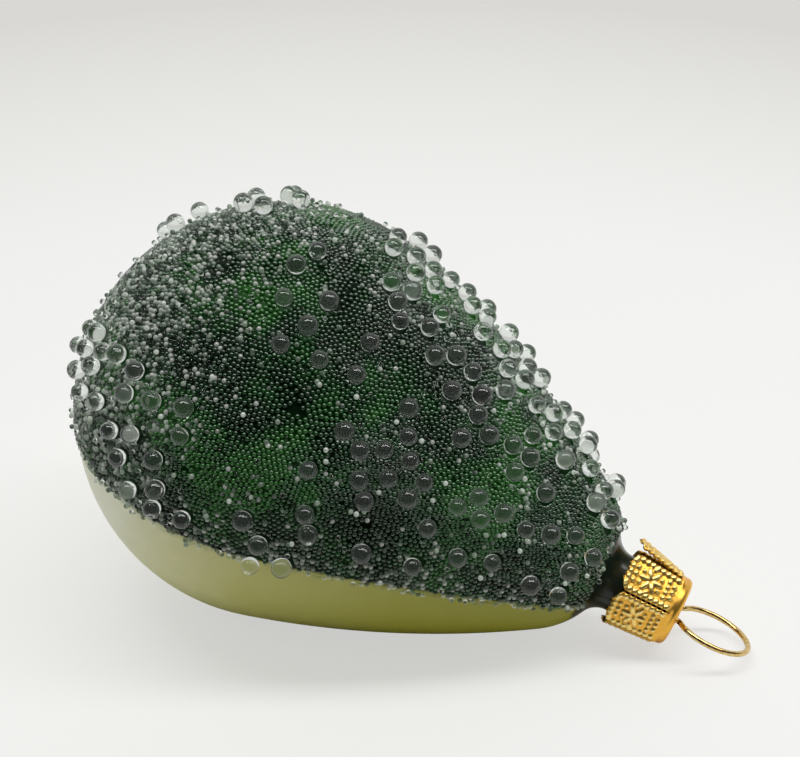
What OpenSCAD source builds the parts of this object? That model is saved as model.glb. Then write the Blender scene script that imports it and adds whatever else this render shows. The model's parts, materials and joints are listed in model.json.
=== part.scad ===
// Avocado tree ornament: a blown glass pear with a beaded skin, a stamped crown cap and a wire loop.
// The pear lies on its flesh side. X runs towards the cap, Z is up, and the flat rest face is at Z = 0.

/* [Glass body] */
// Widest radius of the glass
body_r = 29.2; // [24:0.1:36]
// Radius of the round shoulder below the neck
shoulder_r = 13; // [10:0.1:16]
// Distance from the widest station to the shoulder's centre
shoulder_z = 38.5; // [34:0.1:50]
// Radius of the long flank between belly and shoulder
flank_r = 140; // [110:1:220]
// Thickness of the blown glass
glass_wall = 0.9; // [0.6:0.05:1.4]
// How far the neck points below level as the pear lies, in degrees
lie_tilt = 21; // [18:0.5:24]
// Depth of the flattened rest face under the belly
rest_depth = 1.9; // [1:0.1:3]

/* [Neck] */
// Outer radius of the neck tube
neck_r = 4.2; // [3.6:0.05:5.4]
// Length of the straight neck tube
neck_len = 8.8; // [7:0.1:11]
// Radius of the hollow curve between shoulder and neck
neck_fillet_r = 3; // [2:0.1:4]

/* [Fine bead coat] */
// Thickness of the layer of fine beads
coat_t = 0.7; // [0.4:0.05:1.2]
// Length of bare painted shoulder left before the neck tube
coat_stop = 3.2; // [2.8:0.1:6]
// Radius of the long curve that the lower bead edge follows
edge_arc_r = 365; // [280:5:600]
// How far the bead edge lies below the axis at the neck
edge_drop = 1.6; // [0:0.1:3]

/* [Large beads] */
// Diameter of a large bead
bead_d = 2.8; // [2:0.1:3.4]
// Least gap between two large beads
bead_gap = 0.15; // [0.1:0.05:1]
// Number that sets where the beads fall
bead_seed = 11; // [1:1:99]

/* [Crown cap] */
// Thickness of the stamped sheet
cap_t = 0.35; // [0.25:0.05:0.5]
// Gap between the neck and the cap's skirt
cap_clear = 0.45; // [0.3:0.05:0.8]
// Outer radius of the rolled edge round the cap's top
cap_round = 0.9; // [0.6:0.1:1.4]
// Height of the plain band between the rolled edge and the slits
cap_band = 0.5; // [0.3:0.1:1.5]
// How many petals the skirt has
petal_count = 6; // [4:1:8]
// Slit between two petals
petal_gap = 0.35; // [0.3:0.05:0.8]
// How far the petals are turned about the neck, in degrees
petal_turn = 30; // [0:30:30]
// How far the petals open outwards, in degrees
petal_flare = 4.5; // [0:0.5:7]
// Corner radius of a petal's tip
petal_corner_r = 1.4; // [0.8:0.1:1.8]
// Distance from the petal tips to the end of the neck curve
petal_clear = 0.1; // [0:0.1:1]

/* [Hanger wire] */
// Diameter of the wire
wire_d = 0.8; // [0.6:0.05:0.9]
// Radius of the loop, to the middle of the wire
loop_r = 5.4; // [4:0.1:8]
// Distance between the two legs where they pass through the cap
leg_gap = 5; // [2.4:0.1:5.2]
// Length of the spring legs below the cap
leg_len = 20; // [14:0.5:24]
// Radius of the bend where the loop meets a leg, to the middle of the wire
bend_r = 0.8; // [0.6:0.1:1.5]
// Radius of the two bends that take a leg out to the neck's wall, to the middle of the wire
spread_r = 4; // [2:0.5:6]
// Height of the loop's bends above the cap
loop_lift = 0.1; // [0:0.1:1]
// How far the loop is turned about the neck, in degrees
loop_turn = 14; // [-180:1:180]

/* [Fits] */
// Gap between the glass and the layers that sit on it
seat_gap = 0.02; // [0.01:0.01:0.05]
// Gap between the neck's rim and the cap
rim_gap = 0.05; // [0.02:0.01:0.1]
// Gap between the legs and the hole in the cap
hole_clear = 0.2; // [0.1:0.05:0.4]
// Gap between the spring legs and the inside of the neck
leg_clear = 0.3; // [0.2:0.05:0.5]

/* [Hidden] */
$fn = 96;

// The outline is four arcs that meet tangent to one another: belly, flank, shoulder and neck curve.
belly_to_flank = flank_r - body_r;
shoulder_to_flank = flank_r - shoulder_r;
flank_z = (belly_to_flank ^ 2 - shoulder_to_flank ^ 2 + shoulder_z ^ 2) / (2 * shoulder_z);
flank_x = -sqrt(belly_to_flank ^ 2 - flank_z ^ 2);
fillet_x = neck_r + neck_fillet_r;
neck_z = shoulder_z + sqrt((shoulder_r + neck_fillet_r) ^ 2 - fillet_x ^ 2);
neck_end = neck_z + neck_len;
// Angles of the outward normal, from square to the axis, where one arc hands over to the next
belly_angle = atan2(-flank_z, -flank_x);
flank_angle = atan2(shoulder_z - flank_z, -flank_x);
shoulder_angle = atan2(neck_z - shoulder_z, fillet_x);

// The pear is lowest where its flank's normal points straight down.
low_reach = flank_x * cos(lie_tilt) + flank_z * sin(lie_tilt) + flank_r;
low_x = flank_z * cos(lie_tilt) - flank_x * sin(lie_tilt);
axis_height = low_reach - rest_depth;
far = 4 * (body_r + shoulder_z);
overshoot = 1;

coat_end = neck_z - coat_stop;

// Cap: it grips nothing but stands round the neck, and its top rests on the neck's rim.
cap_under = neck_end + rim_gap;
cap_top = cap_under + cap_t;
cap_r = neck_r + cap_clear + cap_t;
petal_tip = neck_z + petal_clear;
band_top = cap_top - cap_round;
slit_end = band_top - cap_band;
petal_tip_r = cap_r + (band_top - petal_tip) * tan(petal_flare);
hole_r = leg_gap / 2 + wire_d / 2 + hole_clear;

// Hanger: the loop's two ends bend towards the cap, and the legs step out to the wall inside the neck.
wire_r = wire_d / 2;
bend_x = leg_gap / 2 + bend_r;
loop_to_bend = sqrt((loop_r + bend_r) ^ 2 - bend_x ^ 2);
loop_mouth = atan2(bend_x, loop_to_bend);
leg_top = cap_top + loop_lift;
loop_z = leg_top + loop_to_bend;
leg_bend = neck_end - wire_d;
leg_tip = cap_under - leg_len;
leg_reach = neck_r - glass_wall - wire_r - leg_clear;
leg_step = leg_reach - leg_gap / 2;
leg_side = sign(leg_step);
leg_spread = acos(1 - abs(leg_step) / (2 * spread_r));
leg_knee = leg_bend - 2 * spread_r * sin(leg_spread);
loop_steps = 40;
wire_sides = 12;

// Zones of the skin that large beads are dropped on, as low and high along the axis,
// low and high in degrees from the crest, and how many beads are dropped
crest_zone = [6, coat_end, -32, 18, 150];
near_flank_zone = [8, coat_end, 20, 86, 80];
far_flank_zone = [-body_r, coat_end, -96, -54, 46];
fat_end_zone = [-body_r, -7, 60, 97, 40];
fat_crest_zone = [-27, -9, -28, -4, 16];
near_edge_zone = [-12, 16, 84, 98, 20];
belly_zone = [-6, 6, -18, 40, 12];
bead_zones = [
    crest_zone, near_flank_zone, far_flank_zone, fat_end_zone, fat_crest_zone, near_edge_zone, belly_zone
];

// Points on a circular arc, as radius and height
function arc(x, z, r, from, to, steps) =
    [for (i = [0 : steps]) let (a = from + (to - from) * i / steps) [x + r * cos(a), z + r * sin(a)]];

// Outline of the pear, moved outwards by a distance, from its fat end to the start of the neck
function pear(out) = concat(
    [for (p = arc(0, 0, body_r + out, -90, belly_angle, 28)) [max(0, p[0]), p[1]]],
    arc(flank_x, flank_z, flank_r + out, belly_angle, flank_angle, 14),
    arc(0, shoulder_z, shoulder_r + out, flank_angle, shoulder_angle, 10),
    arc(fillet_x, neck_z, neck_fillet_r - out, 180 + shoulder_angle, 180, 10)
);

// Radius of the pear at a height along its axis, with the outline moved outwards
function pear_r(z, out) =
    z < (body_r + out) * sin(belly_angle) ? sqrt(max(0, (body_r + out) ^ 2 - z ^ 2)) :
    z < flank_z + (flank_r + out) * sin(flank_angle)
        ? flank_x + sqrt((flank_r + out) ^ 2 - (z - flank_z) ^ 2) :
    sqrt(max(0, (shoulder_r + out) ^ 2 - (z - shoulder_z) ^ 2));

// Depth of the bead edge below the axis at a height along it
function edge_at(z) = edge_drop + edge_arc_r - sqrt(edge_arc_r ^ 2 - (z - neck_z) ^ 2);

// Large beads as they are dropped on the wet lacquer: centre in the pear's own frame, and zone
dropped_beads = [
    for (k = [0 : len(bead_zones) - 1])
        let (
            zone = bead_zones[k],
            heights = rands(zone[0], zone[1], zone[4], bead_seed + k),
            turns = rands(zone[2], zone[3], zone[4], 100 + bead_seed + k)
        )
        for (i = [0 : zone[4] - 1])
            let (
                z = heights[i],
                r = pear_r(z, bead_d / 2 + seat_gap),
                centre = [-r * cos(turns[i]), -r * sin(turns[i]), z]
            )
            if (z + bead_d / 2 < coat_end && centre[0] < edge_at(z) - bead_d / 4) [centre, zone]
];
function has_room(bead, others) =
    len([for (other = others) if (norm(bead[0] - other[0]) < bead_d + bead_gap) 1]) == 0;
// A bead sticks only where no earlier bead is in its way.
large_beads = [
    for (
        i = 0, stuck = [];
        i <= len(dropped_beads);
        stuck = i < len(dropped_beads) && has_room(dropped_beads[i], stuck)
            ? concat(stuck, [dropped_beads[i]]) : stuck,
        i = i + 1
    )
        if (i == len(dropped_beads)) each stuck
];

// Lays the pear's frame, with its axis along Z, on the floor
module lay() {
    translate([-low_x, 0, axis_height]) rotate([0, 90 + lie_tilt, 0]) children();
}

// Everything above a level
module above(level) {
    translate([-far, -far, level]) cube([2 * far, 2 * far, far]);
}

// The glass body: outer pear less inner pear, both flattened under the belly, open at the neck
module glass_shell() color("darkgreen") difference() {
    intersection() {
        lay() rotate_extrude() polygon(concat(pear(0), [[neck_r, neck_end], [0, neck_end]]));
        above(0);
    }
    intersection() {
        lay() rotate_extrude() polygon(concat(pear(-glass_wall),
            [[neck_r - glass_wall, neck_end + overshoot], [0, neck_end + overshoot]]));
        above(glass_wall);
    }
}

// The layer of fine beads, from the bare shoulder to the long curve of the lower bead edge
module fine_bead_coat() color("darkseagreen") lay() difference() {
    rotate_extrude() intersection() {
        difference() {
            polygon(concat(pear(coat_t), [[0, neck_z]]));
            polygon(concat(pear(seat_gap), [[0, neck_z]]));
        }
        translate([0, -far]) square([far, far + coat_end]);
    }
    translate([edge_drop + edge_arc_r, 0, neck_z]) rotate([90, 0, 0])
        cylinder(r = edge_arc_r, h = far, center = true, $fn = 360);
}

// One zone of large beads
module beads(zone) color("white") lay()
    for (bead = large_beads) if (bead[1] == zone) translate(bead[0]) sphere(d = bead_d, $fn = 32);

module large_beads_crest() beads(crest_zone);
module large_beads_near_flank() beads(near_flank_zone);
module large_beads_far_flank() beads(far_flank_zone);
module large_beads_fat_end() beads(fat_end_zone);
module large_beads_fat_crest() beads(fat_crest_zone);
module large_beads_near_edge() beads(near_edge_zone);
module large_beads_belly() beads(belly_zone);

// Outline of the cap's cup on one side, moved inwards by a distance
function cup(inward) = concat(
    [
        [0, petal_tip - overshoot],
        [petal_tip_r - inward + overshoot * tan(petal_flare), petal_tip - overshoot]
    ],
    arc(cap_r - cap_round, band_top, cap_round - inward, 0, 90, 6),
    [[0, cap_top - inward]]
);

// One petal's outline, standing along Z with its tip rounded, running on into the plain band
module petal_shape() {
    width = 2 * cap_r * sin(180 / petal_count) - petal_gap;
    petal_len = slit_end + cap_band / 2 - petal_tip;
    translate([-petal_tip - petal_len, -width / 2]) square([petal_len - petal_corner_r, width]);
    translate([-petal_tip - petal_len, -width / 2 + petal_corner_r])
        square([petal_len, width - 2 * petal_corner_r]);
    for (side = [-1, 1])
        translate([-petal_tip - petal_corner_r, side * (width / 2 - petal_corner_r)])
            circle(petal_corner_r);
}

// The crown cap: a stamped cup with petals, and one round hole for the hanger
module crown_cap() color("gold") lay() difference() {
    intersection() {
        rotate_extrude() difference() {
            polygon(cup(0));
            polygon(cup(cap_t));
        }
        union() {
            translate([0, 0, slit_end]) cylinder(r = cap_r + overshoot, h = cap_top - slit_end + overshoot);
            for (i = [0 : petal_count - 1])
                rotate(petal_turn + i * 360 / petal_count) rotate([0, 90, 0])
                    linear_extrude(2 * cap_r) petal_shape();
        }
    }
    translate([0, 0, cap_under - overshoot]) cylinder(r = hole_r, h = cap_t + 2 * overshoot);
}

// Middle of the wire in the loop's plane, as sideways and height: one leg from its tip up to the loop
function leg_path() =
    let (
        out_r = leg_side * spread_r,
        out_turn = leg_side * leg_spread,
        lower = arc(leg_reach - out_r, leg_knee, out_r, 0, out_turn, 4),
        upper = arc(leg_gap / 2 + out_r, leg_bend, out_r, 180 + out_turn, 180, 4)
    )
    concat(
        [[leg_reach, leg_tip]],
        [for (i = [0 : 3]) lower[i]],
        upper,
        arc(bend_x, leg_top, bend_r, 180, 90 + loop_mouth, 6)
    );
// The whole wire: up one leg, round the loop and down the other leg
function wire_path() =
    let (
        leg = leg_path(),
        last = len(leg) - 1,
        loop = arc(0, loop_z, loop_r, loop_mouth - 90, 270 - loop_mouth, loop_steps)
    )
    concat(
        leg,
        [for (i = [1 : loop_steps - 1]) loop[i]],
        [for (i = [last : -1 : 0]) [-leg[i][0], leg[i][1]]]
    );
function along(path, i) =
    let (run = path[min(i + 1, len(path) - 1)] - path[max(i - 1, 0)])
    run / norm(run);

// A round wire swept along a path in the loop's plane, closed at both ends
module wire(path) {
    rings = len(path);
    corners = [
        for (i = [0 : rings - 1], k = [0 : wire_sides - 1])
            let (
                way = along(path, i),
                a = k * 360 / wire_sides
            )
            [
                wire_r * sin(a),
                path[i][0] - wire_r * cos(a) * way[1],
                path[i][1] + wire_r * cos(a) * way[0]
            ]
    ];
    sides = [
        for (i = [0 : rings - 2], k = [0 : wire_sides - 1])
            let (
                a = i * wire_sides + k,
                b = i * wire_sides + (k + 1) % wire_sides
            )
            each [[a, b, a + wire_sides], [b, b + wire_sides, a + wire_sides]]
    ];
    first_end = [[for (k = [wire_sides - 1 : -1 : 0]) k]];
    last_end = [[for (k = [0 : wire_sides - 1]) (rings - 1) * wire_sides + k]];
    polyhedron(corners, concat(sides, first_end, last_end));
}

// The hanger: one wire bent to a loop, with two spring legs inside the neck
module hanger_wire() color("goldenrod") lay() rotate(-loop_turn) wire(wire_path());

glass_shell();
fine_bead_coat();
large_beads_crest();
large_beads_near_flank();
large_beads_far_flank();
large_beads_fat_end();
large_beads_fat_crest();
large_beads_near_edge();
large_beads_belly();
crown_cap();
hanger_wire();
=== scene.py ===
import json
import math

import bmesh
import bpy
import numpy as np
from mathutils import Matrix, Quaternion, Vector, noise
from mathutils.kdtree import KDTree


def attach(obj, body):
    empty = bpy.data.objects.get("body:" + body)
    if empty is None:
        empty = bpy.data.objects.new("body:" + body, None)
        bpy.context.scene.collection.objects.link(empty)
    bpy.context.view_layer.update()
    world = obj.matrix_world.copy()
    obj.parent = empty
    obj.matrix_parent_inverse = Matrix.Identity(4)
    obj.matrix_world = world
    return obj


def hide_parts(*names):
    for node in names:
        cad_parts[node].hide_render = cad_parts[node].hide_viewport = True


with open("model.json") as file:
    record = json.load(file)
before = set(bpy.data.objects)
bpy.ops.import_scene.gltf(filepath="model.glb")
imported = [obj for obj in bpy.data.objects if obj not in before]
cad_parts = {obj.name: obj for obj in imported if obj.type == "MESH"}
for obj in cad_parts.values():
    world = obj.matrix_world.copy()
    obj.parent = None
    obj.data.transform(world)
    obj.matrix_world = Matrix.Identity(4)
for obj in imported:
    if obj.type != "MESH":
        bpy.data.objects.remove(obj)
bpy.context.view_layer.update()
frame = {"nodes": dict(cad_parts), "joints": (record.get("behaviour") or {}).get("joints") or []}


# Camera: the photograph's view, a little above and to the right of the ornament's near side.
# Its lens and stand are those at which the pear's outline falls on the photograph's outline.
PHOTO_WIDTH = 800
FOCAL_PIXELS = 2597
SENSOR_MM = 36
CAMERA_AZIMUTH = math.radians(18.63)
CAMERA_ELEVATION = math.radians(29.84)
CAMERA_ROLL = math.radians(-0.4)
CAMERA_DISTANCE = 0.4
CAMERA_AIM = Vector((-0.0039, 0.0348, 0.015))
CAMERA_NEAR = 0.01

camera = bpy.data.objects.new("camera", bpy.data.cameras.new("camera"))
bpy.context.scene.collection.objects.link(camera)
bpy.context.scene.camera = camera
to_camera = Vector((
    math.sin(CAMERA_AZIMUTH) * math.cos(CAMERA_ELEVATION),
    -math.cos(CAMERA_AZIMUTH) * math.cos(CAMERA_ELEVATION),
    math.sin(CAMERA_ELEVATION),
))
camera.data.sensor_fit = "HORIZONTAL"
camera.data.sensor_width = SENSOR_MM
camera.data.lens = FOCAL_PIXELS / PHOTO_WIDTH * SENSOR_MM
camera.data.clip_start = CAMERA_NEAR
camera.location = CAMERA_AIM + to_camera * CAMERA_DISTANCE
camera.rotation_mode = "QUATERNION"
level_view = (-to_camera).to_track_quat("-Z", "Y")
camera.rotation_quaternion = level_view @ Quaternion((0, 0, 1), CAMERA_ROLL)


# Glass pear: a mouth-blown bulb with a neck tube, lacquered dark green on the skin side, yellow-green on
# the flesh side and black round the neck. It lies on a small flat under its flesh side.
# Sizes are in millimetres in the pear's own frame: Z along the neck's axis, -X up, -Y to the near side.
MM = 0.001
BODY_R = 29.2
SHOULDER_R = 13.0
SHOULDER_Z = 38.5
FLANK_R = 140.0
GLASS_WALL = 0.9
NECK_R = 4.2
NECK_LEN = 8.8
NECK_FILLET_R = 3.0
CAP_T = 0.35
RIM_GAP = 0.05
PEAR_STEPS = 192
RIM_STEPS = 8
MERGE_MM = 0.001
CUT_MM = 0.0001

belly_to_flank = FLANK_R - BODY_R
shoulder_to_flank = FLANK_R - SHOULDER_R
flank_z = (belly_to_flank ** 2 - shoulder_to_flank ** 2 + SHOULDER_Z ** 2) / (2 * SHOULDER_Z)
flank_x = -math.sqrt(belly_to_flank ** 2 - flank_z ** 2)
fillet_x = NECK_R + NECK_FILLET_R
neck_z = SHOULDER_Z + math.sqrt((SHOULDER_R + NECK_FILLET_R) ** 2 - fillet_x ** 2)
neck_end = neck_z + NECK_LEN
cap_top = neck_end + RIM_GAP + CAP_T
belly_angle = math.atan2(-flank_z, -flank_x)
flank_angle = math.atan2(SHOULDER_Z - flank_z, -flank_x)
shoulder_angle = math.atan2(neck_z - SHOULDER_Z, fillet_x)

hanger_turn = next(joint for joint in frame["joints"] if joint["name"] == "hanger_turn")
neck_axis = Vector(hanger_turn["axis"]).normalized()
pear_turn = Matrix((
    (neck_axis.z, 0, neck_axis.x),
    (0, 1, 0),
    (-neck_axis.x, 0, neck_axis.z),
))
pear_origin = Vector(hanger_turn["pos_m"]) - neck_axis * cap_top * MM
lay = Matrix.LocRotScale(pear_origin, pear_turn.to_quaternion(), Vector((MM, MM, MM)))


def pear_radius(z):
    """Radius of the glass at heights along its axis, from the fat end to the shoulder."""
    belly = np.sqrt(np.maximum(BODY_R ** 2 - z ** 2, 0))
    flank = flank_x + np.sqrt(FLANK_R ** 2 - (z - flank_z) ** 2)
    shoulder = np.sqrt(np.maximum(SHOULDER_R ** 2 - (z - SHOULDER_Z) ** 2, 0))
    on_flank = z < flank_z + FLANK_R * math.sin(flank_angle)
    return np.where(z < BODY_R * math.sin(belly_angle), belly, np.where(on_flank, flank, shoulder))


def verts_in(parts):
    """The vertices among the parts of a mesh."""
    return [part for part in parts if isinstance(part, bmesh.types.BMVert)]


def edges_in(parts):
    """The edges among the parts of a mesh."""
    return [part for part in parts if isinstance(part, bmesh.types.BMEdge)]


def turn_tip(bm, tip, centre, angle, steps):
    """Carries the tip of an outline along an arc in the XZ plane and gives its new tip."""
    spun = bmesh.ops.spin(bm, geom=tip, cent=centre, axis=(0, -1, 0), angle=angle, steps=steps)
    return verts_in(spun["geom_last"])


def push_tip(bm, tip, way):
    """Carries the tip of an outline straight on and gives its new tip."""
    new_tip = bmesh.ops.extrude_vert_indiv(bm, verts=tip)["verts"]
    bmesh.ops.translate(bm, verts=new_tip, vec=way)
    return new_tip


def add_piece(name, bm, material):
    """Turns a mesh in the pear's frame into a smooth piece in its place."""
    bm.transform(lay)
    mesh = bpy.data.meshes.new(name)
    bm.to_mesh(mesh)
    bm.free()
    mesh.shade_smooth()
    mesh.materials.append(material)
    piece = bpy.data.objects.new(name, mesh)
    bpy.context.scene.collection.objects.link(piece)
    return piece


def linear(hex_colour):
    """An sRGB hex colour as linear red, green, blue and alpha."""
    parts = [int(hex_colour[i:i + 2], 16) / 255 for i in (1, 3, 5)]
    return [c / 12.92 if c <= 0.04045 else ((c + 0.055) / 1.055) ** 2.4 for c in parts] + [1.0]


def add(tree, kind, sockets=None, **settings):
    """Adds a node with its settings, and sets its sockets or links them to other nodes' sockets."""
    node = tree.nodes.new(kind)
    for name, value in settings.items():
        setattr(node, name, value)
    for name, value in (sockets or {}).items():
        if isinstance(value, bpy.types.NodeSocket):
            tree.links.new(value, node.inputs[name])
        else:
            node.inputs[name].default_value = value
    return node


def new_material(name):
    """An empty node material and its node tree."""
    material = bpy.data.materials.new(name)
    material.use_nodes = True
    material.node_tree.nodes.clear()
    return material, material.node_tree


def reckon(tree, operation, *values):
    """The result of a math node on numbers or other nodes' sockets."""
    return add(tree, "ShaderNodeMath", dict(enumerate(values)), operation=operation).outputs["Value"]


def span(tree, value, start, end, low=0.0, high=1.0, **settings):
    """A number that goes from low to high while a value goes from start to end."""
    return add(tree, "ShaderNodeMapRange", {
        "Value": value, "From Min": start, "From Max": end, "To Min": low, "To Max": high,
    }, **settings).outputs["Result"]


def blend(tree, factor, first, second, data_type="RGBA"):
    """A colour or number that goes from the first to the second while a factor goes from 0 to 1."""
    return add(tree, "ShaderNodeMix", {
        "Factor": factor, "A": first, "B": second,
    }, data_type=data_type).outputs["Result"]


def mottle(tree, place, spot, detail, roughness):
    """Noise from 0 to 1, with spots of about a given size."""
    return add(tree, "ShaderNodeTexNoise", {
        "Vector": place, "Scale": 1 / spot, "Detail": detail, "Roughness": roughness,
    }).outputs["Fac"]


def ramp(tree, factor, *stops):
    """A colour that runs through hex colours at given places."""
    node = add(tree, "ShaderNodeValToRGB", {"Fac": factor})
    elements = node.color_ramp.elements
    while len(elements) < len(stops):
        elements.new(0.5)
    for element, (place, hex_colour) in zip(elements, stops):
        element.position = place
        element.color = linear(hex_colour)
    return node.outputs["Color"]


# The outline turns through four arcs, steps over the rim and comes back along the inside of the glass.
# Each arc has its centre, its angle and its number of steps.
OUTLINE_ARCS = [
    ((0, 0, 0), belly_angle + math.pi / 2, 44),
    ((flank_x, 0, flank_z), flank_angle - belly_angle, 26),
    ((0, 0, SHOULDER_Z), shoulder_angle - flank_angle, 18),
    ((fillet_x, 0, neck_z), -shoulder_angle, 10),
]
bm = bmesh.new()
tip = bmesh.ops.create_vert(bm, co=(0, 0, -BODY_R))["vert"]
for centre, angle, steps in OUTLINE_ARCS:
    tip = turn_tip(bm, tip, centre, angle, steps)
tip = push_tip(bm, tip, (0, 0, NECK_LEN - GLASS_WALL / 2))
rim = (NECK_R - GLASS_WALL / 2, 0, neck_end - GLASS_WALL / 2)
tip = turn_tip(bm, tip, rim, math.pi, RIM_STEPS)
tip = push_tip(bm, tip, (0, 0, GLASS_WALL / 2 - NECK_LEN))
for centre, angle, steps in reversed(OUTLINE_ARCS):
    tip = turn_tip(bm, tip, centre, -angle, steps // 2)
bmesh.ops.spin(bm, geom=bm.verts[:] + bm.edges[:], axis=(0, 0, 1), cent=(0, 0, 0),
               angle=2 * math.pi, steps=PEAR_STEPS, use_merge=True)
bmesh.ops.remove_doubles(bm, verts=bm.verts[:], dist=MERGE_MM)
bmesh.ops.recalc_face_normals(bm, faces=bm.faces[:])

# The rest flat is cut across the outside; the inside stays a wall's thickness above it.
floor_point = lay.inverted() @ Vector((0, 0, 0))
floor_up = lay.to_quaternion().inverted() @ Vector((0, 0, 1))
for vert in bm.verts:
    radius = math.hypot(vert.co.x, vert.co.y)
    inside = radius < pear_radius(np.float64(vert.co.z)) - GLASS_WALL / 2
    height = (vert.co - floor_point).dot(floor_up)
    if inside and vert.co.z < neck_z and height < GLASS_WALL:
        vert.co += floor_up * (GLASS_WALL - height)
cut = bmesh.ops.bisect_plane(bm, geom=bm.verts[:] + bm.edges[:] + bm.faces[:], dist=CUT_MM,
                             plane_co=floor_point, plane_no=-floor_up, clear_outer=True)
bmesh.ops.edgeloop_fill(bm, edges=edges_in(cut["geom_cut"]))
bmesh.ops.recalc_face_normals(bm, faces=bm.faces[:])

# Lacquer over blown glass: brushed on in blotches under a clear varnish. The eye sees a near-black green
# with lighter clouds, a satin flesh that pales towards the fat end, and a glossy black neck.
COAT_STOP = 3.2
EDGE_ARC_R = 365.0
EDGE_DROP = 1.6
BLOTCH_MM = 13.0
CLOUD_MM = 3.5
BRUSH_MM = 1.4
MEAN_SHADE = 0.5
BLOTCH_DEPTH = 0.3
CLOUD_DEPTH = 0.16
FLESH_END = 50.0
FLESH_CLOUD = 0.06
FLESH_STARTS = -0.9
FLESH_FULL = -0.6
NECK_STARTS = -0.5
NECK_FULL = -0.1
NECK_BRUSH = 0.8
coat_end = neck_z - COAT_STOP


def skin_shade(points):
    """How light the green lacquer is at points of the pear: blotches and small clouds."""
    blotch = np.array([noise.fractal(Vector(point) / BLOTCH_MM, 1.0, 2.0, 4) for point in points])
    cloud = np.array([noise.noise(Vector(point) / CLOUD_MM) for point in points])
    return MEAN_SHADE + BLOTCH_DEPTH * blotch + CLOUD_DEPTH * cloud


def lacquer_on_glass():
    """The lacquers of skin, flesh and neck, told apart by their place on the pear."""
    material, tree = new_material("lacquer_on_blown_glass")
    place = add(tree, "ShaderNodeMapping", {
        "Vector": add(tree, "ShaderNodeTexCoord").outputs["Object"],
        "Location": pear_origin,
        "Rotation": pear_turn.to_euler(),
        "Scale": (MM, MM, MM),
    }, vector_type="TEXTURE").outputs["Vector"]
    axes = add(tree, "ShaderNodeSeparateXYZ", {"Vector": place})
    from_neck = reckon(tree, "SUBTRACT", axes.outputs["Z"], neck_z)
    squared = reckon(tree, "MULTIPLY", from_neck, from_neck)
    edge = reckon(tree, "MULTIPLY_ADD", squared, 0.5 / EDGE_ARC_R, EDGE_DROP)
    past_edge = reckon(tree, "SUBTRACT", axes.outputs["X"], edge)
    cloud = mottle(tree, place, CLOUD_MM, 2.0, 0.5)
    brush = mottle(tree, place, BRUSH_MM, 2.0, 0.6)
    shade = add(tree, "ShaderNodeAttribute", attribute_name="shade").outputs["Fac"]
    skin = ramp(tree, shade, (0.34, "#06130a"), (0.5, "#0a200d"), (0.62, "#123612"), (0.8, "#246019"))
    along = span(tree, axes.outputs["Z"], -BODY_R, FLESH_END)
    along = reckon(tree, "MULTIPLY_ADD", cloud, FLESH_CLOUD, along)
    flesh = ramp(tree, along, (0.22, "#fbfce2"), (0.35, "#e0dfaa"), (0.5, "#bfbd6e"), (0.74, "#a4a239"),
                 (0.93, "#999729"))
    is_flesh = span(tree, past_edge, FLESH_STARTS, FLESH_FULL)
    brushed = reckon(tree, "MULTIPLY_ADD", brush, NECK_BRUSH, axes.outputs["Z"])
    is_neck = span(tree, brushed, coat_end + NECK_STARTS, coat_end + NECK_FULL)
    colour = blend(tree, is_flesh, skin, flesh)
    colour = blend(tree, is_neck, colour, linear("#1d281e"))
    rough = span(tree, is_flesh, 0, 1, 0.32, 0.46)
    rough = blend(tree, is_neck, rough, 0.2, "FLOAT")
    rough = reckon(tree, "MULTIPLY_ADD", brush, 0.06, rough)
    ripple = add(tree, "ShaderNodeBump", {"Height": brush, "Strength": 0.25, "Distance": 0.04 * MM})
    bare = reckon(tree, "MAXIMUM", is_flesh, is_neck)
    gloss = span(tree, bare, 0, 1, 0.04, 0.5)
    surface = add(tree, "ShaderNodeBsdfPrincipled", {
        "Base Color": colour, "Roughness": rough, "IOR": 1.5, "Normal": ripple.outputs["Normal"],
        "Specular IOR Level": gloss,
    })
    add(tree, "ShaderNodeOutputMaterial", {"Surface": surface.outputs["BSDF"]})
    return material


shade_layer = bm.verts.layers.float.new("shade")
bm.verts.ensure_lookup_table()
for vert, value in zip(bm.verts, skin_shade([tuple(vert.co) for vert in bm.verts])):
    vert[shade_layer] = value

pear = add_piece("glass_pear", bm, lacquer_on_glass())
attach(pear, "glass")
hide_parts("glass_shell")


# Large beads: clear glass beads pressed into the wet varnish. They sit on the centres that the frame has for
# them and differ a little in size, so the smaller ones stand just off the glass, among the fine beads.
LARGE_BEAD_R = 1.4
LARGE_BEAD_SPREAD = 0.14
LARGE_BEAD_LEVEL = 4
LARGE_BEAD_NODES = [name for name in sorted(frame["nodes"]) if name.startswith("large_beads_")]
SEED = 7
SAME_POINT = 0.000002
CLEAR_GLASS = "#f2f6f2"
THROUGH_GLASS = "#f4f7f4"


def glass_beads(name, hex_colour, roughness, index, clearness):
    """Clear or half-clear soda-lime glass, which lets the lamp's light through to the lacquer below."""
    material, tree = new_material(name)
    glass = add(tree, "ShaderNodeBsdfPrincipled", {
        "Base Color": linear(hex_colour), "Roughness": roughness, "IOR": index,
        "Transmission Weight": clearness,
    })
    clear = add(tree, "ShaderNodeBsdfTransparent", {"Color": linear(THROUGH_GLASS)})
    ray = add(tree, "ShaderNodeLightPath")
    passing = reckon(tree, "MAXIMUM", ray.outputs["Is Shadow Ray"], ray.outputs["Is Diffuse Ray"])
    mixed = add(tree, "ShaderNodeMixShader", {
        0: passing, 1: glass.outputs["BSDF"], 2: clear.outputs["BSDF"],
    })
    add(tree, "ShaderNodeOutputMaterial", {"Surface": mixed.outputs["Shader"]})
    return material


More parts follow.
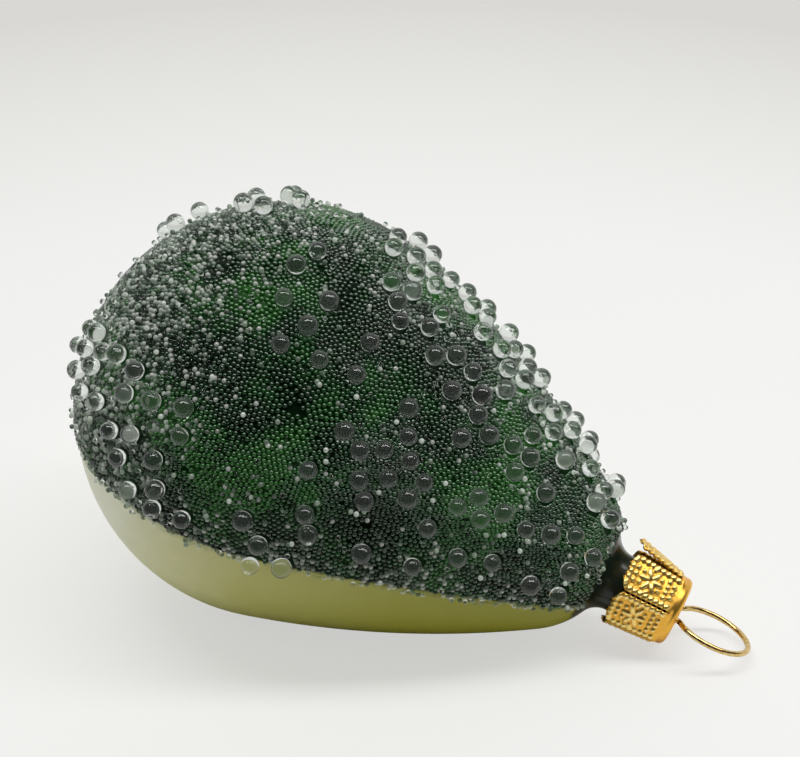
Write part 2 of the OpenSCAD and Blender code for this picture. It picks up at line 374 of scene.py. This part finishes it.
def strew(name, centres, radii, level, material):
    """One piece with a round bead at each centre, given in the pear's frame."""
    mesh = bpy.data.meshes.new(name)
    mesh.from_pydata([lay @ Vector(centre) for centre in centres], [], [])
    mesh.attributes.new("bead_r", "FLOAT", "POINT").data.foreach_set("value", np.asarray(radii) * MM)
    piece = bpy.data.objects.new(name, mesh)
    bpy.context.scene.collection.objects.link(piece)
    tree = bpy.data.node_groups.new(name, "GeometryNodeTree")
    tree.interface.new_socket("Centres", in_out="INPUT", socket_type="NodeSocketGeometry")
    tree.interface.new_socket("Beads", in_out="OUTPUT", socket_type="NodeSocketGeometry")
    points = add(tree, "NodeGroupInput").outputs[0]
    ball = add(tree, "GeometryNodeMeshIcoSphere", {"Radius": 1.0, "Subdivisions": level}).outputs[0]
    radius = add(tree, "GeometryNodeInputNamedAttribute", {"Name": "bead_r"}, data_type="FLOAT").outputs[0]
    beads = add(tree, "GeometryNodeInstanceOnPoints", {"Points": points, "Instance": ball, "Scale": radius})
    beads = add(tree, "GeometryNodeRealizeInstances", {"Geometry": beads.outputs[0]}).outputs[0]
    beads = add(tree, "GeometryNodeSetMaterial", {"Geometry": beads, "Material": material}).outputs[0]
    add(tree, "NodeGroupOutput", {0: beads})
    piece.modifiers.new("beads", "NODES").node_group = tree
    made = piece.evaluated_get(bpy.context.evaluated_depsgraph_get())
    beaded = bpy.data.meshes.new_from_object(made)
    piece.modifiers.clear()
    piece.data = beaded
    bpy.data.meshes.remove(mesh)
    beaded.name = name
    beaded.shade_smooth()
    return piece


def bead_centres(node):
    """Centres of the separate balls in a node of the frame, in the pear's frame."""
    bm = bmesh.new()
    bm.from_mesh(frame["nodes"][node].data)
    bmesh.ops.remove_doubles(bm, verts=bm.verts[:], dist=SAME_POINT)
    centres = []
    waiting = set(bm.verts)
    while waiting:
        ball = {waiting.pop()}
        border = list(ball)
        while border:
            vert = border.pop()
            near = {edge.other_vert(vert) for edge in vert.link_edges} - ball
            ball |= near
            border += near
        waiting -= ball
        corners = np.array([vert.co for vert in ball])
        centres.append(lay.inverted() @ Vector((corners.min(0) + corners.max(0)) / 2))
    bm.free()
    return sorted(centres, key=tuple)


rng = np.random.default_rng(SEED)
large_bead_glass = glass_beads("clear_large_bead_glass", CLEAR_GLASS,
                               roughness=0.04, index=1.52, clearness=0.98)
large_centres = []
for node in LARGE_BEAD_NODES:
    centres = bead_centres(node)
    large_centres += centres
    sizes = LARGE_BEAD_R * (1 - LARGE_BEAD_SPREAD * rng.random(len(centres)))
    beads = strew(node.replace("large_beads", "beads"), centres, sizes, LARGE_BEAD_LEVEL, large_bead_glass)
    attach(beads, "glass")
    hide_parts(node)
large_centres = np.array(large_centres)


# Fine beads: one layer of beads of 0.7 to 0.8 mm, shaken over wet varnish until they lie as close as they
# can. Each is set more than half its radius into the surface, as if sunk in the varnish.
# They run from a ragged edge below the pear's middle to the black neck.
FINE_BEAD_R = 0.385
FINE_BEAD_SPREAD = 0.12
FINE_SPACING = 0.75
FINE_SINK = 0.6
SINK_SPREAD = 0.25
FINE_BEAD_LEVEL = 2
HEIGHT_STEPS = 4000
PAST_COAT = 2.0
SETTLE_ROUNDS = 36
ROUNDS_TO_LOOK = 3
NEIGHBOURS = 8
PUSH_SHARE = 0.4
LEAST_GAP = 0.001
FOOT_SHARE = 0.85
EDGE_WOBBLE = 0.35
WOBBLES_PER_MM = 0.6
STRAY_SHARE = 0.045


def onto_pear(points):
    """Moves points onto the glass, square to the belly's ball or straight out from the axis."""
    ball = points / np.linalg.norm(points, axis=1, keepdims=True) * BODY_R
    out = np.linalg.norm(points[:, :2], axis=1, keepdims=True)
    scale = pear_radius(points[:, 2:]) / np.maximum(out, LEAST_GAP)
    turned = np.concatenate([points[:, :2] * scale, points[:, 2:]], axis=1)
    return np.where(points[:, 2:] < 0, ball, turned)


def outward(points):
    """Outward normals of the glass at points on it."""
    z = points[:, 2]
    out = np.linalg.norm(points[:, :2], axis=1)
    belly = z < BODY_R * math.sin(belly_angle)
    flank = z < flank_z + FLANK_R * math.sin(flank_angle)
    across = np.where(belly, out, np.where(flank, out - flank_x, out))
    along = np.where(belly, z, np.where(flank, z - flank_z, z - SHOULDER_Z))
    ways = points[:, :2] / np.maximum(out, LEAST_GAP)[:, None] * across[:, None]
    normals = np.concatenate([ways, along[:, None]], axis=1)
    return normals / np.linalg.norm(normals, axis=1, keepdims=True)


def nearest(points, count):
    """For each point, the numbers of the points nearest to it, without itself."""
    finder = KDTree(len(points))
    for i, point in enumerate(points):
        finder.insert(point, i)
    finder.balance()
    return np.array([[hit[1] for hit in finder.find_n(point, count + 1)[1:]] for point in points])


def shove(points, others, reach):
    """How points move away from those of the others that lie within reach."""
    apart = points[:, None] - others
    gap = np.linalg.norm(apart, axis=2, keepdims=True)
    push = np.maximum(reach - gap, 0) / np.maximum(gap, LEAST_GAP)
    return (apart * push).sum(1)


heights = np.linspace(-BODY_R, coat_end + PAST_COAT, HEIGHT_STEPS)
rings = pear_radius(heights)
strips = np.hypot(np.diff(heights), np.diff(rings)) * (rings[1:] + rings[:-1]) * math.pi
fine_count = int(strips.sum() / (FINE_SPACING ** 2 * math.sqrt(3) / 2))
strip = rng.choice(len(strips), fine_count, p=strips / strips.sum())
turns = rng.random(fine_count) * 2 * math.pi
fine = np.stack([rings[strip] * np.cos(turns), rings[strip] * np.sin(turns), heights[strip]], axis=1)
large_feet = onto_pear(large_centres)
foot_r = math.sqrt((LARGE_BEAD_R + FINE_BEAD_R) ** 2 - (LARGE_BEAD_R - FINE_BEAD_R) ** 2)
for settle_round in range(SETTLE_ROUNDS):
    if settle_round % ROUNDS_TO_LOOK == 0:
        neighbours = nearest(fine, NEIGHBOURS)
    fine = fine + shove(fine, fine[neighbours], FINE_SPACING) * PUSH_SHARE
    fine = onto_pear(fine + shove(fine, large_feet[None], foot_r))
edge_depth = EDGE_DROP + (fine[:, 2] - neck_z) ** 2 / (2 * EDGE_ARC_R)
wobble = EDGE_WOBBLE * np.array([noise.noise(point * WOBBLES_PER_MM) for point in fine])
to_feet = np.linalg.norm(fine[:, None] - large_feet[None], axis=2)
under_large = (to_feet < foot_r * FOOT_SHARE).any(1)
on_skin = (fine[:, 0] < edge_depth + wobble) & (fine[:, 2] < coat_end + wobble) & ~under_large
fine = fine[on_skin]
normals = outward(fine)
radii = FINE_BEAD_R * (1 - FINE_BEAD_SPREAD * rng.random(len(fine)))
lift = radii * (1 - FINE_SINK - SINK_SPREAD * rng.random(len(fine)))
fine_centres = fine + normals * lift[:, None]

# A few beads lie loose in the hollows on top of the layer.
perched_on = rng.choice(len(fine), int(len(fine) * STRAY_SHARE), replace=False)
trios = np.concatenate([perched_on[:, None], nearest(fine_centres, 2)[perched_on]], axis=1)
perch_height = math.sqrt((2 * FINE_BEAD_R) ** 2 - FINE_SPACING ** 2 / 3)
strays = fine_centres[trios].mean(1) + normals[perched_on] * perch_height
to_large = np.linalg.norm(strays[:, None] - large_centres[None], axis=2)
strays = strays[(to_large > LARGE_BEAD_R + FINE_BEAD_R).all(1)]
stray_radii = FINE_BEAD_R * (1 - FINE_BEAD_SPREAD * rng.random(len(strays)))

# In the photograph the beads are dark where it looks straight at them, and clear or pale towards the
# outline, the fat end and the edge, where they show the light of the white floor and backdrop. Here that is
# fixed by place as a stand-in: dark beads lie on two cheeks, the one that faces the photograph and its
# mirror image, and the rest are clear glass or beads painted pale, which is painted light. Half the loose
# beads are clear and half are painted pale.
CHEEK = np.array([-0.56, -0.82, 0.08])
CHEEK_EDGE = 0.8
CHEEK_FADE = 0.5
EDGE_FADE = 7
FAT_END_Z = -3
FAT_END_FADE = 16
FAT_END_MOST = 0.85
DARK_NECK_Z = 50
DARK_NECK_FADE = 12
DARK_NECK_LEAST = 0.25
LIT_OR_CLEAR_LEAST = 0.05
LIT_OR_CLEAR_SHARE = 0.9
LIT_OR_CLEAR_EDGE = 0.75
PAINTED_LIGHT_SHARE = 0.6
CLEAR_HEAPS = 2
FINE_INDEX = 1.6
# The pale bead shades are painted light: the white floor and backdrop that beads show towards the outline.
PAINTED_LIGHT_SHADES = ["#7c8c7c", "#b4c3b1", "#f2f8ee"]
BEAD_SHADES = ["#0b2b10", "#0c3212", "#0e3914", "#114116", "#154918", "#1a521a", "#235f1d"]


def varnished_bead(name, hex_colour):
    """A clear bead sunk in varnish over green lacquer: it looks like a dark ball with one bright glint."""
    material, tree = new_material(name)
    surface = add(tree, "ShaderNodeBsdfPrincipled", {
        "Base Color": linear(hex_colour), "Roughness": 0.09, "IOR": 1.9,
    })
    add(tree, "ShaderNodeOutputMaterial", {"Surface": surface.outputs["BSDF"]})
    return material


# Where beads are clear or painted pale as painted light: towards the outline, the edge and the fat end, less
# near the neck.
on_cheek = np.maximum(normals @ CHEEK, normals @ (CHEEK * [1, -1, 1]))
past_edge = fine[:, 0] - edge_depth[on_skin]
lit_or_clear_weight = np.clip((CHEEK_EDGE - on_cheek) / CHEEK_FADE, 0, 1)
lit_or_clear_weight = np.maximum(lit_or_clear_weight, np.clip((past_edge + EDGE_FADE) / EDGE_FADE, 0, 1))
lit_or_clear_weight = np.maximum(lit_or_clear_weight, np.clip((FAT_END_Z - fine[:, 2]) / FAT_END_FADE, 0, FAT_END_MOST))
lit_or_clear_weight = lit_or_clear_weight * np.clip((DARK_NECK_Z - fine[:, 2]) / DARK_NECK_FADE, DARK_NECK_LEAST, 1)
is_lit_or_clear = (rng.random(len(fine)) < LIT_OR_CLEAR_LEAST + LIT_OR_CLEAR_SHARE * lit_or_clear_weight) | (past_edge > -LIT_OR_CLEAR_EDGE)
is_painted_light = is_lit_or_clear & (rng.random(len(fine)) < PAINTED_LIGHT_SHARE)
is_clear = is_lit_or_clear & ~is_painted_light
half = len(strays) // 2
heaps = {}
clear_glass = glass_beads("clear_fine_bead_glass", CLEAR_GLASS,
                          roughness=0.03, index=FINE_INDEX, clearness=1.0)
clear_centres = np.concatenate([fine_centres[is_clear], strays[:half]])
clear_radii = np.concatenate([radii[is_clear], stray_radii[:half]])
for k, members in enumerate(np.array_split(np.argsort(clear_centres[:, 2]), CLEAR_HEAPS)):
    heaps[f"fine_beads_clear_{k}"] = (clear_centres[members], clear_radii[members], clear_glass)
# Pale beads: half-clear glass painted pale, which is painted light of the floor and backdrop, not the beads'
# own colour.
painted_light_step = rng.integers(len(PAINTED_LIGHT_SHADES), size=len(fine))
for k, hex_colour in enumerate(PAINTED_LIGHT_SHADES):
    glass = glass_beads(f"painted_light_bead_glass_{k}", hex_colour,
                        roughness=0.1, index=FINE_INDEX, clearness=0.5)
    members = is_painted_light & (painted_light_step == k)
    loose = slice(half + k, None, len(PAINTED_LIGHT_SHADES))
    centres = np.concatenate([fine_centres[members], strays[loose]])
    sizes = np.concatenate([radii[members], stray_radii[loose]])
    heaps[f"fine_beads_pale_{k}"] = (centres, sizes, glass)
shades = skin_shade(fine)
shade_limits = np.quantile(shades, np.linspace(0, 1, len(BEAD_SHADES) + 1)[1:-1])
for k, hex_colour in enumerate(BEAD_SHADES):
    glass = varnished_bead(f"varnished_bead_glass_{k}", hex_colour)
    members = ~is_lit_or_clear & (np.searchsorted(shade_limits, shades) == k)
    heaps[f"fine_beads_shade_{k}"] = (fine_centres[members], radii[members], glass)
for name, (centres, sizes, glass) in heaps.items():
    beads = strew(name, centres, sizes, FINE_BEAD_LEVEL, glass)
    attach(beads, "glass")
    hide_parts("fine_bead_coat")


# Crown cap: thin brass sheet stamped with a star and rows of grains, drawn to a cup with six petals and
# gilded. It stands round the neck, and its top rests on the neck's rim.
CAP_CLEAR = 0.45
CAP_ROUND = 0.9
CAP_BAND = 0.5
PETALS = 6
PETAL_CLEAR = 0.1
PETAL_CORNER = 1.3
SLIT = 0.28
HOLE_R = 3.1
PETAL_TURN = math.radians(30)
PETAL_FLARES = [4.0, 5.0, 14.0, 6.0, 4.5, 4.0]
PETAL_FLATNESS = 0.75
PETAL_COLUMNS = 52
PETAL_ROWS = 76
BAND_STEPS = 4
ROUND_STEPS = 8
TOP_STEPS = 4
SAME_SPOT = 0.001
WELD_MM = 0.004
RELIEF = 0.3
cap_r = NECK_R + CAP_CLEAR + CAP_T
band_top = cap_top - CAP_ROUND
slit_end = band_top - CAP_BAND
petal_tip = neck_z + PETAL_CLEAR
petal_len = slit_end - petal_tip
half_petal = math.pi / PETALS

# The stamped pattern: a star of six leaves with dots between them, rows of dots above and below it, and
# grains along the petal's sides and tip.
STAR_UP = petal_len * 0.46
STAR_LEAVES = 6
LEAF_RING = 0.98
LEAF_LONG = 0.86
LEAF_WIDE = 0.4
DOT_RING = 1.6
DOT_R = 0.34
DOT_ROWS = [
    (2.5, 0.38, (-1.2, -0.4, 0.4, 1.2)),
    (3.3, 0.38, (-0.85, 0, 0.85)),
    (-2.3, 0.36, (-0.9, 0, 0.9)),
]
GRAIN_STEP = 0.8
GRAIN_R = 0.43
GRAIN_START = 0.6
GRAIN_STOP = 0.3
GRAIN_INSET = 0.45
TIP_GRAINS = 5
TIP_GRAIN_STEP = 0.74
TIP_GRAIN_UP = 0.45
TIP_GRAIN_R = 0.4


def half_width(from_tip):
    """Half the width of a petal at a distance from its tip."""
    full = cap_r * half_petal - SLIT / 2
    corner = max(0.0, PETAL_CORNER - from_tip)
    return full - PETAL_CORNER + math.sqrt(PETAL_CORNER ** 2 - corner ** 2)


def bump(across, from_tip, at_across, at_from_tip, long, wide, turn=0.0):
    """Height of a round or leaf-shaped bump at a place on the petal."""
    dx = across - at_across
    dy = from_tip - at_from_tip
    x = (dx * math.cos(turn) + dy * math.sin(turn)) / long
    y = (dy * math.cos(turn) - dx * math.sin(turn)) / wide
    return math.sqrt(max(0.0, 1 - x * x - y * y))


def stamped(across, from_tip):
    """Height of the stamped pattern at a place on a petal, from 0 to 1."""
    return max(bump(across, from_tip, *shape) for shape in pattern)


pattern = []
for k in range(STAR_LEAVES):
    dot_turn = 2 * math.pi * k / STAR_LEAVES
    leaf_turn = dot_turn + math.pi / STAR_LEAVES
    leaf_up = STAR_UP + LEAF_RING * math.sin(leaf_turn)
    dot_up = STAR_UP + DOT_RING * math.sin(dot_turn)
    pattern.append((LEAF_RING * math.cos(leaf_turn), leaf_up, LEAF_LONG, LEAF_WIDE, leaf_turn))
    pattern.append((DOT_RING * math.cos(dot_turn), dot_up, DOT_R, DOT_R))
for above_star, dot_r, row in DOT_ROWS:
    pattern += [(across, STAR_UP + above_star, dot_r, dot_r) for across in row]
for k in range(int((petal_len - GRAIN_STOP) / GRAIN_STEP)):
    from_tip = GRAIN_START + k * GRAIN_STEP
    side = half_width(from_tip) - GRAIN_INSET
    pattern += [(side, from_tip, GRAIN_R, GRAIN_R), (-side, from_tip, GRAIN_R, GRAIN_R)]
for k in range(TIP_GRAINS):
    across = (k - (TIP_GRAINS - 1) / 2) * TIP_GRAIN_STEP
    pattern.append((across, TIP_GRAIN_UP, TIP_GRAIN_R, TIP_GRAIN_R))

bm = bmesh.new()
relief = bm.verts.layers.float.new("relief")
tip = bmesh.ops.create_vert(bm, co=(cap_r, 0, petal_tip))["vert"]
for k in range(PETAL_ROWS):
    tip = push_tip(bm, tip, (0, 0, petal_len / PETAL_ROWS))
for k in range(BAND_STEPS):
    tip = push_tip(bm, tip, (0, 0, CAP_BAND / BAND_STEPS))
tip = turn_tip(bm, tip, (cap_r - CAP_ROUND, 0, band_top), math.pi / 2, ROUND_STEPS)
for k in range(TOP_STEPS):
    tip = push_tip(bm, tip, ((HOLE_R - cap_r + CAP_ROUND) / TOP_STEPS, 0, 0))
bmesh.ops.rotate(bm, verts=bm.verts[:], cent=(0, 0, 0), matrix=Matrix.Rotation(-half_petal, 3, "Z"))
bmesh.ops.spin(bm, geom=bm.verts[:] + bm.edges[:], cent=(0, 0, 0), axis=(0, 0, 1),
               angle=2 * half_petal, steps=PETAL_COLUMNS)
bmesh.ops.recalc_face_normals(bm, faces=bm.faces[:])
petals = [bm.verts[:]]
one_petal = bm.verts[:] + bm.edges[:] + bm.faces[:]
for k in range(1, PETALS):
    petals.append(verts_in(bmesh.ops.duplicate(bm, geom=one_petal)["geom"]))
for k, verts in enumerate(petals):
    for vert in verts:
        from_tip = vert.co.z - petal_tip
        share = math.atan2(vert.co.y, vert.co.x) / half_petal
        r = math.hypot(vert.co.x, vert.co.y)
        turn = share * half_petal
        flat = 1 / math.cos(turn) - 1
        if from_tip < petal_len - SAME_SPOT:
            down = petal_len - from_tip
            across = share * half_width(from_tip)
            turn = across / cap_r
            flat = (1 / math.cos(turn) - 1) * PETAL_FLATNESS
            vert[relief] = stamped(across, from_tip)
            r = r * (1 + flat) + down * math.tan(math.radians(PETAL_FLARES[k])) + RELIEF * vert[relief]
        elif from_tip < petal_len + CAP_BAND:
            r = r * (1 + flat * PETAL_FLATNESS * (petal_len + CAP_BAND - from_tip) / CAP_BAND)
        turn += 2 * half_petal * k + PETAL_TURN
        vert.co = Vector((r * math.cos(turn), r * math.sin(turn), vert.co.z))
bmesh.ops.remove_doubles(bm, verts=bm.verts[:], dist=WELD_MM)

# Gilt brass: lighter on the raised grains of the stamp and browner in its hollows.
GILT_SPECK_MM = 0.5


def gilt_brass():
    """Thin gilding on stamped brass, lighter where the stamp has raised it, with small dents."""
    material, tree = new_material("gilt_stamped_brass")
    place = add(tree, "ShaderNodeTexCoord").outputs["Object"]
    speck = mottle(tree, place, GILT_SPECK_MM * MM, 2.0, 0.6)
    raised = add(tree, "ShaderNodeAttribute", attribute_name="relief").outputs["Fac"]
    tone = reckon(tree, "MULTIPLY_ADD", speck, 0.5, raised)
    gold = ramp(tree, tone, (0.1, "#f6b844"), (0.5, "#fdca60"), (1.0, "#ffdf88"))
    rough = span(tree, tone, 0, 1, 0.4, 0.32)
    dents = add(tree, "ShaderNodeBump", {"Height": speck, "Strength": 0.4, "Distance": 0.06 * MM})
    surface = add(tree, "ShaderNodeBsdfPrincipled", {
        "Base Color": gold, "Roughness": rough, "Metallic": 1.0, "Normal": dents.outputs["Normal"],
    })
    add(tree, "ShaderNodeOutputMaterial", {"Surface": surface.outputs["BSDF"]})
    return material


cap = add_piece("crown_cap_stamped", bm, gilt_brass())
sheet = cap.modifiers.new("sheet", "SOLIDIFY")
sheet.thickness = CAP_T * MM
sheet.offset = -1
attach(cap, "cap")
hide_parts("crown_cap")


# Hanger wire: one length of bright gilt wire bent to a loop. Its two ends go down through the hole in the
# cap as spring legs that step out to the wall of the neck.
WIRE_R = 0.4
WIRE_SIDES = 16
LOOP_R = 5.4
LEG_GAP = 5.0
LEG_LEN = 20.0
BEND_R = 0.8
SPREAD_R = 4.0
LOOP_LIFT = 0.1
LOOP_TURN = math.radians(-14)
LEG_CLEAR = 0.3
bend_x = LEG_GAP / 2 + BEND_R
loop_to_bend = math.sqrt((LOOP_R + BEND_R) ** 2 - bend_x ** 2)
loop_mouth = math.atan2(bend_x, loop_to_bend)
leg_top = cap_top + LOOP_LIFT
loop_z = leg_top + loop_to_bend
leg_bend = neck_end - 2 * WIRE_R
leg_tip = cap_top - CAP_T - LEG_LEN
leg_reach = NECK_R - GLASS_WALL - WIRE_R - LEG_CLEAR
leg_spread = math.acos(1 - (leg_reach - LEG_GAP / 2) / (2 * SPREAD_R))
leg_knee = leg_bend - 2 * SPREAD_R * math.sin(leg_spread)

# The way of the wire from tip to tip. A straight stretch has its vector and no angle; a bend has its centre,
# its angle and its number of steps.
up_leg = [
    ((0, 0, leg_knee - leg_tip), None, 1),
    ((0, leg_reach - SPREAD_R, leg_knee), leg_spread, 6),
    ((0, LEG_GAP / 2 + SPREAD_R, leg_bend), -leg_spread, 6),
    ((0, 0, leg_top - leg_bend), None, 1),
    ((0, bend_x, leg_top), loop_mouth - math.pi / 2, 10),
]
round_loop = [((0, 0, loop_z), 2 * math.pi - 2 * loop_mouth, 96)]
down_leg = [
    ((0, -bend_x, leg_top), loop_mouth - math.pi / 2, 10),
    ((0, 0, leg_bend - leg_top), None, 1),
    ((0, -LEG_GAP / 2 - SPREAD_R, leg_bend), -leg_spread, 6),
    ((0, SPREAD_R - leg_reach, leg_knee), leg_spread, 6),
    ((0, 0, leg_tip - leg_knee), None, 1),
]
bm = bmesh.new()
bmesh.ops.create_circle(bm, segments=WIRE_SIDES, radius=WIRE_R, cap_ends=False,
                        matrix=Matrix.Translation((0, leg_reach, leg_tip)))
ring = bm.edges[:]
for point, angle, steps in up_leg + round_loop + down_leg:
    if angle is None:
        made = bmesh.ops.extrude_edge_only(bm, edges=ring)["geom"]
        bmesh.ops.translate(bm, verts=verts_in(made), vec=point)
    else:
        verts = list({vert for edge in ring for vert in edge.verts})
        made = bmesh.ops.spin(bm, geom=verts + ring, cent=point, axis=(1, 0, 0),
                              angle=angle, steps=steps)["geom_last"]
    ring = edges_in(made)
bmesh.ops.holes_fill(bm, edges=[edge for edge in bm.edges if edge.is_boundary], sides=WIRE_SIDES)
bmesh.ops.recalc_face_normals(bm, faces=bm.faces[:])
bmesh.ops.rotate(bm, verts=bm.verts[:], cent=(0, 0, 0), matrix=Matrix.Rotation(LOOP_TURN, 3, "Z"))

# Drawn brass wire: paler than the cap, polished by the drawing die and a little uneven along its length.
WIRE_MARK_MM = 0.7


def drawn_wire():
    """Bright gilt brass wire with small marks from the drawing die."""
    material, tree = new_material("drawn_gilt_wire")
    place = add(tree, "ShaderNodeTexCoord").outputs["Object"]
    mark = mottle(tree, place, WIRE_MARK_MM * MM, 3.0, 0.6)
    surface = add(tree, "ShaderNodeBsdfPrincipled", {
        "Base Color": ramp(tree, mark, (0.3, "#cda45a"), (0.7, "#f0d798")),
        "Roughness": span(tree, mark, 0, 1, 0.1, 0.24),
        "Metallic": 1.0,
    })
    add(tree, "ShaderNodeOutputMaterial", {"Surface": surface.outputs["BSDF"]})
    return material


wire = add_piece("hanger_loop_wire", bm, drawn_wire())
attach(wire, "hanger")
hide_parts("hanger_wire")


# Floor: a wide sheet of matt white card, lit by the lamp overhead. Far from the ornament the camera sees one
# even pale tone on it, as in the photograph's upper part. Reflections see the card in front of the ornament
# darker, as it would be in the dim room there. Distances are in metres.
FLOOR_R = 3.0
FLOOR_SIDES = 96
TONE_STARTS = 0.12
TONE_ENDS = 0.23
TONE_SHARE = 0.62
FRONT_STARTS = -0.045
FRONT_ENDS = -0.1
PALE_TONE = "#d9d8d4"
to_back = (-math.sin(CAMERA_AZIMUTH), math.cos(CAMERA_AZIMUTH), 0)


def how_far_back(tree, place):
    """How far a place or direction lies away from the camera, level with the floor."""
    node = add(tree, "ShaderNodeVectorMath", {0: place, 1: to_back}, operation="DOT_PRODUCT")
    return node.outputs["Value"]


def white_card():
    """Matt white card: its own shade near the ornament, and the pale tone of the photograph further off."""
    material, tree = new_material("matt_white_card")
    place = add(tree, "ShaderNodeTexCoord").outputs["Object"]
    away = add(tree, "ShaderNodeVectorMath", {0: place}, operation="LENGTH").outputs["Value"]
    away = span(tree, away, TONE_STARTS, TONE_ENDS)
    tone = ramp(tree, away, (0.0, "#f8f8f6"), (1.0, PALE_TONE))
    ray = add(tree, "ShaderNodeLightPath")
    seen = reckon(tree, "MAXIMUM", ray.outputs["Is Camera Ray"], ray.outputs["Is Transmission Ray"])
    shown = reckon(tree, "MULTIPLY", seen, span(tree, away, 0, 1, TONE_SHARE))
    in_front = span(tree, how_far_back(tree, place), FRONT_STARTS, FRONT_ENDS)
    dimmed = reckon(tree, "MULTIPLY", ray.outputs["Is Glossy Ray"], in_front)
    white = blend(tree, dimmed, linear("#f3f3f1"), linear("#505050"))
    matt = add(tree, "ShaderNodeBsdfDiffuse", {"Color": white})
    pale = add(tree, "ShaderNodeEmission", {"Color": tone, "Strength": 1.0})
    mixed = add(tree, "ShaderNodeMixShader", {
        0: shown, 1: matt.outputs["BSDF"], 2: pale.outputs["Emission"],
    })
    add(tree, "ShaderNodeOutputMaterial", {"Surface": mixed.outputs["Shader"]})
    return material


bm = bmesh.new()
bmesh.ops.create_circle(bm, segments=FLOOR_SIDES, radius=FLOOR_R, cap_ends=True)
mesh = bpy.data.meshes.new("floor")
bm.to_mesh(mesh)
bm.free()
floor = bpy.data.objects.new("floor", mesh)
bpy.context.scene.collection.objects.link(floor)
floor.data.materials.append(white_card())


# Light: one long soft lamp overhead, across the view, a white backdrop behind the ornament and a dim room in
# front of it. The camera itself sees the pale tone of the far floor in place of the room.
LAMP_LENGTH = 1.1
LAMP_WIDTH = 0.16
LAMP_HEIGHT = 0.6
LAMP_X = 0.22
LAMP_Y = 0.035
LAMP_SHARE = 1.1
BACKDROP_LIGHT = 0.75
ROOM_LIGHT = 0.05
ROOM_ENDS = 0.1
BACKDROP_STARTS = 0.6
lamp = bpy.data.objects.new("overhead_lamp", bpy.data.lights.new("overhead_lamp", "AREA"))
bpy.context.scene.collection.objects.link(lamp)
lamp.data.shape = "RECTANGLE"
lamp.data.size = LAMP_LENGTH
lamp.data.size_y = LAMP_WIDTH
lamp.data.energy = LAMP_SHARE * (math.pi * LAMP_HEIGHT) ** 2
lamp.location = (LAMP_X, LAMP_Y, LAMP_HEIGHT)
lamp.rotation_euler = (0, 0, CAMERA_AZIMUTH)

world = bpy.data.worlds.new("room")
bpy.context.scene.world = world
world.use_nodes = True
tree = world.node_tree
tree.nodes.clear()
way = add(tree, "ShaderNodeTexCoord").outputs["Generated"]
glow = span(tree, how_far_back(tree, way), ROOM_ENDS, BACKDROP_STARTS, ROOM_LIGHT, BACKDROP_LIGHT,
            interpolation_type="SMOOTHSTEP")
room = add(tree, "ShaderNodeBackground", {"Color": linear("#ffffff"), "Strength": glow})
pale = add(tree, "ShaderNodeBackground", {"Color": linear(PALE_TONE), "Strength": 1.0})
seen = add(tree, "ShaderNodeLightPath").outputs["Is Camera Ray"]
shown = add(tree, "ShaderNodeMixShader", {
    0: seen, 1: room.outputs["Background"], 2: pale.outputs["Background"],
})
add(tree, "ShaderNodeOutputWorld", {"Surface": shown.outputs["Shader"]})
bpy.context.scene.view_settings.view_transform = "Standard"
